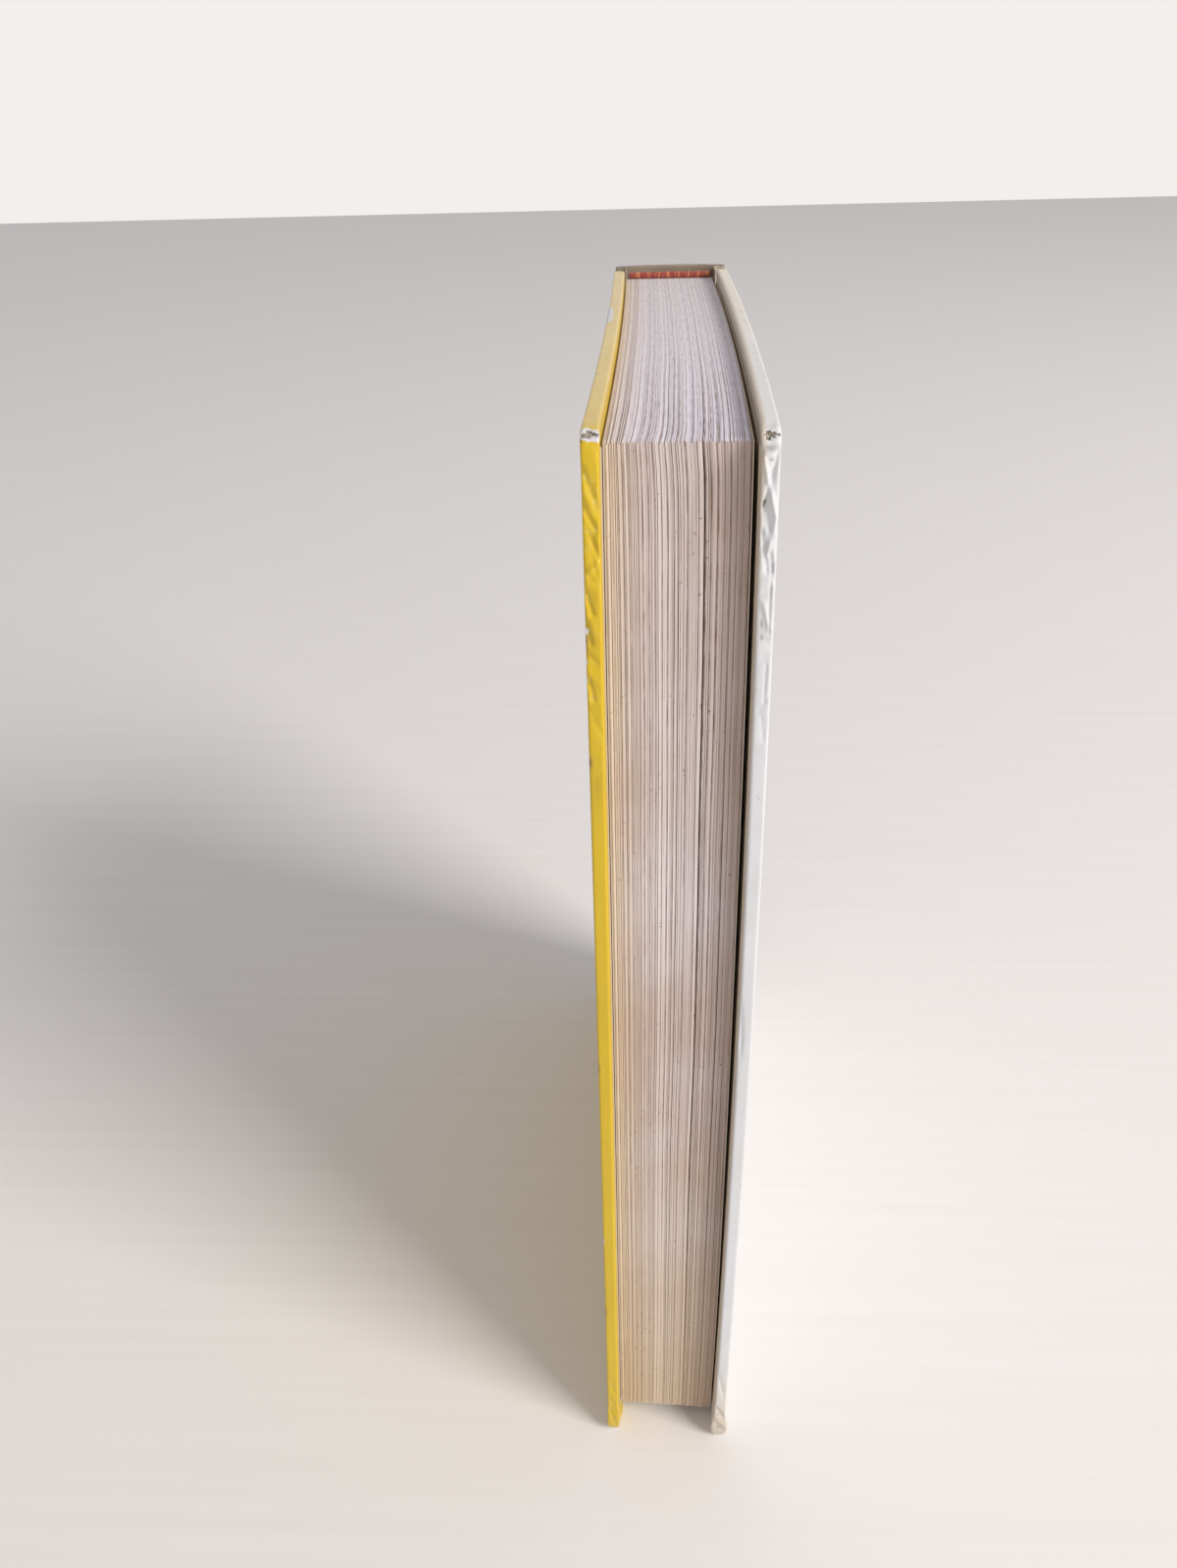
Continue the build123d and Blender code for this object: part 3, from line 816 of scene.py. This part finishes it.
def makeCover(side, film):
    thick = abs(pasteLow[side][0] - coverLow[side][0]) if side == "front" else abs(
        coverHigh[side][0] - pasteHigh[side][0]
    )
    depths = [0, 0.1, 0.25, 0.4, 0.6, 0.8, 1.0, 1.2, 1.4, 1.6, 1.8, 2.0, 2.2, 2.35, 2.5, thick]
    ys = [foreEdge + v for v in (0, 0.15, 0.3, 0.5, 0.8, 1.2, 1.7, 2.3, 3, 4, 5.2, 6.5, 8, 10, 12.5)]
    ys += gridLines(foreEdge + cover["turnIn"], coverRear - 0.5, 3.0) + [coverRear - 0.25, coverRear]
    zs = [0, 0.1, 0.25] + gridLines(0.5, 15, 0.6) + gridLines(15, 24, 0.75)[1:]
    zs += gridLines(24, 184, 2.2)[1:] + gridLines(184, caseRise - 16, 0.4)[1:]
    zs += [caseRise - cover["turnIn"]] + gridLines(caseRise - 14.5, caseRise - 0.4, 0.4)
    zs += [caseRise - 0.25, caseRise - 0.1, caseRise]
    points, faces = boxSurface(depths, ys, zs)
    flat = points.copy()
    points = roundForeCorners(softenEdges(points, cover["edgeRound"]), cover["cornerRound"])
    points, marksOn = batterCover(points, side)
    # the sheet stops 15 mm in on the inner face, and it's torn away at the head corner of the yellow cover
    middle = np.array([flat[list(face)].mean(0) for face in faces])
    inner = middle[:, 0] > thick - 1e-6
    window = (
        inner
        & (middle[:, 1] > foreEdge + cover["turnIn"])
        & (middle[:, 2] > cover["turnIn"])
        & (middle[:, 2] < caseRise - cover["turnIn"])
    )
    reach = np.hypot(middle[:, 1] - foreEdge, caseRise - middle[:, 2])
    raggedness = grain(middle, 0.7, seeds["tear"]) + 0.5 * grain(middle, 0.3, seeds["tearFine"])
    torn = reach + raggedness < coverMarks[side]["torn"]
    if side == "back":
        torn |= (np.hypot((middle[:, 0] - 1.7) / 0.32, (reach - 0.8) / 0.45) + 0.4 * raggedness) < 1
    keep = ~(window | torn)
    kept = [face for face, use in zip(faces, keep) if use]
    shell = meshObject(side + "CoverSheet", coverPlace(points, side), kept, film)
    storeValues(shell, **marksOn)
    closeShell(shell, -1)
    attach(shell, side + "_cover")
    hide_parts(side + "_cover_sheet")

    inset = cover["inset"]
    boardDepths = [inset, 0.5, 0.8, 1.1, 1.4, 1.7, 2.0, 2.2, thick - inset]
    boardYs = [foreEdge + v for v in (inset, 0.6, 1, 1.5, 2.2, 3, 4, 6, 9, 12)]
    boardYs += gridLines(foreEdge + 15, coverRear - cover["sheet"], 4.0)
    boardZs = [inset, 0.6, 1, 1.6, 2.4, 3.5, 5, 8] + gridLines(12, caseRise - 12, 4.0)
    boardZs += [caseRise - v for v in (8, 5, 3.5, 2.4, 1.6, 1, 0.6, inset)]
    points, faces = boxSurface(boardDepths, boardYs, boardZs)
    points = roundForeCorners(softenEdges(points, 0.3), cover["cornerRound"] - inset)
    points = batterCover(points, side)[0]
    rough = grain(points, 0.5, seeds["chewY"])
    nearCorner = np.exp(-np.hypot(points[:, 1] - foreEdge, caseRise - points[:, 2]) / 2)
    # a board stands back from the folds pressed into its sheet
    standBack = cover["foreInset"] * (1 - 0.7 * nearCorner) * np.exp(-(points[:, 1] - points[:, 1].min()) / 1.5)
    points[:, 1] += 0.12 * rough * nearCorner + standBack
    points[:, 2] += 0.12 * grain(points, 0.5, seeds["chewZ"]) * nearCorner
    board = meshObject(side + "Board", coverPlace(points, side), faces, greyBoard, smooth=False)
    faceOutward(board)
    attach(board, side + "_cover")
    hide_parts(side + "_board")

    for part, material, partSlot in (("pastedown", endPaper, "endpaper"), ("gauze_flange", mull, "gauze")):
        low, high = boxMm(f"{side}_{part}")
        ys, zs = gridLines(low[1], high[1], 4.0), gridLines(low[2], high[2], 4.0)

        def bend(points):
            shift = coverMarks[side]["bow"](points[:, 1], points[:, 2])
            return np.stack([points[:, 0] + shift, points[:, 1], points[:, 2]], 1)

        sheet = thinSheet(side + part.title().replace("_", ""), low, high, ys, zs, bend, material)
        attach(sheet, side + "_cover")
        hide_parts(f"{side}_{part}")


makeCover("front", yellowFilm)
makeCover("back", whiteFilm)
print("covers ready")


# the spine: white sheet round a curved card, turned in at head and tail
spine = {"cardChord": cardHigh[0] - cardLow[0], "sagitta": 1.5, "thick": 1.6, "turnIn": 15.0, "edgeRound": 0.4}


def spineDrop(x):
    # how far the curve falls away from its crown, x from the middle of the spine
    radius = (spine["cardChord"] / 2) ** 2 / (2 * spine["sagitta"]) + spine["sagitta"] / 2
    return radius - np.sqrt(radius**2 - np.asarray(x) ** 2)


def makeSpine():
    xs = [spineLow[0] + v for v in (0, 0.15, 0.4, 0.8)]
    xs += gridLines(spineLow[0] + 1.4, spineHigh[0] - 1.4, 1.0)
    xs += [spineHigh[0] - v for v in (0.8, 0.4, 0.15, 0)]
    ys = [0, 0.12, 0.4, 0.8, 1.2, 1.48, spine["thick"]]
    zs = [0, 0.1, 0.3, 0.6, 1, 1.5, 2.2, 3, 4, 6, 9, 12] + gridLines(15, caseRise - 15, 3.0)
    zs += [caseRise - v for v in (12, 9, 6, 4, 3, 2.2, 1.5, 1, 0.6, 0.3, 0.1, 0)]
    points, faces = boxSurface(xs, ys, zs)
    flat = points.copy()
    points = softenEdges(points, spine["edgeRound"])
    crown = spineHigh[1] - spine["thick"]
    fine, broad = grain(points, 1.2, seeds["spineFine"]), grain(points, 9.0, seeds["spineBroad"])
    fromEnd = np.minimum(points[:, 2], caseRise - points[:, 2])
    fromSide = np.minimum(points[:, 0] - spineLow[0], spineHigh[0] - points[:, 0])
    corner = unit(1 - np.hypot(fromEnd, fromSide) / 4) ** 2
    pressed = np.exp(-fromEnd / 1.2) * (0.1 + 0.1 * fine) + 0.7 * corner
    points[:, 2] -= np.sign(points[:, 2] - caseRise / 2) * pressed
    worn = unit(0.5 * corner + 0.15 * np.exp(-fromEnd / 1.0) * (1 + broad))
    points[:, 1] = crown + points[:, 1] - spineDrop(points[:, 0]) + 0.03 * broad
    middle = np.array([flat[list(face)].mean(0) for face in faces])
    keep = ~((middle[:, 1] < 1e-6) & (middle[:, 2] > spine["turnIn"]) & (middle[:, 2] < caseRise - spine["turnIn"]))
    shell = meshObject("spineSheet", points, [face for face, use in zip(faces, keep) if use], whiteFilm)
    # the cap at the head is painted grey-brown: handling dirt on the cap and its ears, and painted shade on the inner
    # face of the turn-in
    inside = unit(1 - flat[:, 1] / 0.5)
    capDirtAndShade = 0.9 * easeOut(caseRise - flat[:, 2], 2.0) + 0.12 * np.exp(-flat[:, 2] / 2)
    onEar = np.exp(-fromSide / 0.6)
    capDirtAndShade = np.maximum(capDirtAndShade, 0.45 * onEar * np.exp(-(caseRise - flat[:, 2]) / 8))
    # painted shade: the inner face of the spine sheet is darkened towards the head
    capDirtAndShade = np.maximum(capDirtAndShade, 0.8 * inside * np.exp(-(caseRise - flat[:, 2]) / 40))
    storeValues(
        shell, worn=worn, creased=np.zeros(len(points)), faded=unit(1.6 * capDirtAndShade),
        grime=unit(capDirtAndShade * (1 + 0.3 * broad)),
    )
    closeShell(shell, 1)
    return shell


spineShell = makeSpine()
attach(spineShell, "block")
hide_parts("spine_sheet")
print("spine ready")


# the grooves: the cover sheet runs on from each board to the spine as a thin strip
groove = {"thick": 0.2, "blockSide": 78.5, "coverSide": 72.3, "cutZ": 4.0}
grooveLine = [
    (11.30, 71.95), (11.28, 72.6), (11.26, 73.4), (11.26, 74.2), (11.26, 75.0), (11.26, 75.8),
    (11.26, 76.6), (11.26, 77.4), (11.28, 78.2), (11.34, 78.8), (11.52, 79.3), (11.90, 79.62),
    (12.4, 79.74), (12.9, 79.78), (13.4, 79.80), (13.85, 79.92),
]


def makeGroove(side):
    sign = -1 if side == "front" else 1
    line = np.array(grooveLine)
    direction = np.gradient(line, axis=0)
    direction /= np.linalg.norm(direction, axis=1, keepdims=True)
    across = np.stack([-direction[:, 1], direction[:, 0]], 1)
    profile = np.concatenate([line, (line + across * groove["thick"])[::-1]])
    zs = [0.3, 0.5] + gridLines(2, caseRise - 2, groove["cutZ"]) + [caseRise - 0.5, caseRise - 0.3]
    count, points, faces = len(profile), [], []
    for z in zs:
        points += [(sign * x, y, z) for x, y in profile]
    for k in range(len(zs) - 1):
        for i in range(count):
            j = (i + 1) % count
            faces.append((k * count + i, k * count + j, (k + 1) * count + j, (k + 1) * count + i))
    half = len(line)
    for base in (0, (len(zs) - 1) * count):
        faces += [(base + i, base + i + 1, base + count - 2 - i, base + count - 1 - i) for i in range(half - 1)]
    strip = meshObject(side + "Groove", points, faces, whiteFilm)
    fromHead = caseRise - np.array(points)[:, 2]
    storeValues(
        strip, worn=np.full(len(points), 0.1), creased=np.zeros(len(points)),
        faded=0.3 + 0.7 * np.exp(-fromHead / 30), grime=0.65 * np.exp(-fromHead / 12) + 0.08,
    )
    faceOutward(strip)
    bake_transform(strip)


for side in ("front", "back"):
    makeGroove(side)
print("grooves ready")


# the head and tail bands: dyed thread wrapped round a cord, on a tape glued behind the leaves
band = {"cord": 0.62, "thread": 0.21, "wrap": 0.42, "tape": 0.18, "seat": 0.1, "seed": 5}


def bandTree():
    tree = bpy.data.node_groups.new("bandWraps", "GeometryNodeTree")
    given = addSockets(
        tree,
        {"Wraps": "Int", "Pitch": "Float", "Cord Radius": "Float", "Thread Radius": "Float", "Seed": "Int",
         "Thread": "Material"},
    )
    ring = addNode(tree, "GeometryNodeCurvePrimitiveCircle", {"Resolution": 24, "Radius": given["Cord Radius"]})
    yarn = addNode(tree, "GeometryNodeCurvePrimitiveCircle", {"Resolution": 7, "Radius": given["Thread Radius"]})
    loop = addNode(tree, "GeometryNodeCurveToMesh", {"Curve": ring, "Profile Curve": yarn})
    smoothLoop = addNode(tree, "GeometryNodeSetShadeSmooth", {0: loop})
    step = addNode(tree, "ShaderNodeCombineXYZ", {"X": given["Pitch"]})
    row = addNode(tree, "GeometryNodeMeshLine", {"Count": given["Wraps"], "Offset": step})
    lean = addNode(
        tree, "FunctionNodeRandomValue",
        {0: (0.0, math.pi / 2 - 0.12, -0.1), 1: (0.0, math.pi / 2 + 0.12, 0.1), 8: given["Seed"]},
        data_type="FLOAT_VECTOR",
    )
    wraps = addNode(tree, "GeometryNodeInstanceOnPoints", {"Points": row, "Instance": smoothLoop, "Rotation": lean})
    # the dye runs through six tones, wrap after wrap
    index = addNode(tree, "GeometryNodeInputIndex")
    group = addNode(tree, "ShaderNodeMath", {0: index, 1: 6.0}, operation="MODULO")
    spread = {2: -0.3, 3: 0.3, 8: given["Seed"]}
    shifted = addNode(tree, "FunctionNodeRandomValue", spread, data_type="FLOAT").outputs[1]
    striped = addNode(tree, "ShaderNodeMath", {0: group, 1: 0.18}, operation="MULTIPLY")
    tone = addNode(tree, "ShaderNodeMath", {0: striped, 1: shifted})
    toned = addNode(
        tree, "GeometryNodeStoreNamedAttribute", {"Geometry": wraps, "Name": "threadTone", "Value": tone},
        data_type="FLOAT", domain="INSTANCE",
    )
    solid = addNode(tree, "GeometryNodeRealizeInstances", {0: toned})
    dyed = addNode(tree, "GeometryNodeSetMaterial", {"Geometry": solid, "Material": given["Thread"]})
    addNode(tree, "NodeGroupOutput", {0: dyed})
    return tree


bandNodes = bandTree()
for node, up in (("headband", 1), ("tailband", -1)):
    low, high = boxMm(node)
    beadRadius = band["cord"] + band["thread"]
    wraps = int((high[0] - low[0] - 2 * band["thread"]) / band["wrap"])
    endZ = high[2] if up > 0 else low[2]
    firstWrap = low[0] + (high[0] - low[0] - (wraps - 1) * band["wrap"]) / 2
    centre = np.array([firstWrap, high[1] - beadRadius - band["seat"], endZ - up * beadRadius])
    bead = growPiece(
        node.replace("band", "BandThread"),
        bandNodes,
        {
            "Wraps": wraps, "Pitch": band["wrap"] * mm, "Cord Radius": band["cord"] * mm,
            "Thread Radius": band["thread"] * mm, "Seed": band["seed"], "Thread": bandYarn,
        },
    )
    bead.data.transform(Matrix.Translation(Vector(centre * mm)))
    # the cord inside, and the tape behind
    shape = bmesh.new()
    bmesh.ops.create_cone(
        shape, cap_ends=True, segments=20, radius1=band["cord"] * mm, radius2=band["cord"] * mm,
        depth=(high[0] - low[0] - 0.3) * mm,
        matrix=Matrix.Translation(Vector(((low[0] + high[0]) / 2, centre[1], centre[2])) * mm)
        @ Matrix.Rotation(math.pi / 2, 4, "Y"),
    )
    cordMesh = bpy.data.meshes.new(node + "Cord")
    shape.to_mesh(cordMesh)
    shape.free()
    cordPiece = addObject(node.replace("band", "BandCord"), cordMesh)
    cordMesh.materials.append(bandYarn)
    tapeLow = np.array([low[0], high[1] - band["tape"], low[2] if up > 0 else centre[2]])
    tapeHigh = np.array([high[0], high[1], centre[2] if up > 0 else high[2]])
    tape = thinSheet(
        node.replace("band", "BandTape"), tapeLow, tapeHigh, [tapeLow[1], tapeHigh[1]],
        gridLines(tapeLow[2], tapeHigh[2], 1.0), lambda points: points, mull,
    )
    for piece in (bead, cordPiece, tape):
        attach(piece, "block")
        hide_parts(node)
print("bands ready")


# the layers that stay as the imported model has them
for node, material in (("spine_card", greyBoard), ("spine_gauze", mull), ("spine_lining", krafted)):
    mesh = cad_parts[node].data
    mesh.materials.clear()
    mesh.materials.append(material)


# a wide pale floor with a faint grain, one soft lamp from the right, and even pale light all round
def floorMaterial():
    material, tree, place = newMaterial("paleFloor")
    stretched = addNode(tree, "ShaderNodeMapping", {"Vector": place, "Scale": (6.0, 260.0, 1.0)})
    grainLines = addNode(tree, "ShaderNodeTexNoise", {"Vector": stretched, "Scale": 1.0, "Detail": 3.0})
    layered = addNode(
        tree, "ShaderNodeMix", {0: grainLines, 6: hexLinear("#F7F5F3"), 7: hexLinear("#F1EEEB")}, data_type="RGBA"
    )
    shown = layered.outputs[2]
    return finishMaterial(material, shown, 0.6, Specular_IOR_Level=0.3)


room = {"floor": 6000.0, "lampSize": 1.1, "lampPower": 58.0, "lampFrom": (1.9, -1.2, 1.55), "lampAt": (0, 0, 0.12)}
half = room["floor"] / 2
floor = meshObject(
    "floor", [(-half, -half, 0), (half, -half, 0), (half, half, 0), (-half, half, 0)], [(0, 1, 2, 3)], floorMaterial()
)

lampData = bpy.data.lights.new("window", "AREA")
lampData.shape = "SQUARE"
lampData.size = room["lampSize"]
lampData.energy = room["lampPower"]
lampData.color = hexLinear("#FFFAF4")[:3]
lamp = addObject("window", lampData)
aim = Vector(room["lampAt"]) - Vector(room["lampFrom"])
lamp.matrix_world = Matrix.Translation(Vector(room["lampFrom"])) @ aim.to_track_quat("-Z", "Y").to_matrix().to_4x4()

world = bpy.data.worlds.new("room")
world.use_nodes = True
world.node_tree.nodes.clear()
tree = world.node_tree
rays = addNode(tree, "ShaderNodeLightPath").outputs
seen = addNode(tree, "ShaderNodeMath", {0: rays["Is Camera Ray"], 1: rays["Is Glossy Ray"]}, operation="MAXIMUM")
seen = addNode(tree, "ShaderNodeMath", {0: seen, 1: rays["Is Transmission Ray"]}, operation="MAXIMUM")
dim = addNode(tree, "ShaderNodeBackground", {"Color": hexLinear("#F8F6FB"), "Strength": 0.46})
pale = addNode(tree, "ShaderNodeBackground", {"Color": hexLinear("#F2EFEC"), "Strength": 1.0})
either = addNode(tree, "ShaderNodeMixShader", {0: seen, 1: dim, 2: pale})
addNode(tree, "ShaderNodeOutputWorld", {"Surface": either})
bpy.context.scene.world = world
bpy.context.scene.view_settings.view_transform = "Standard"
print("lights ready")
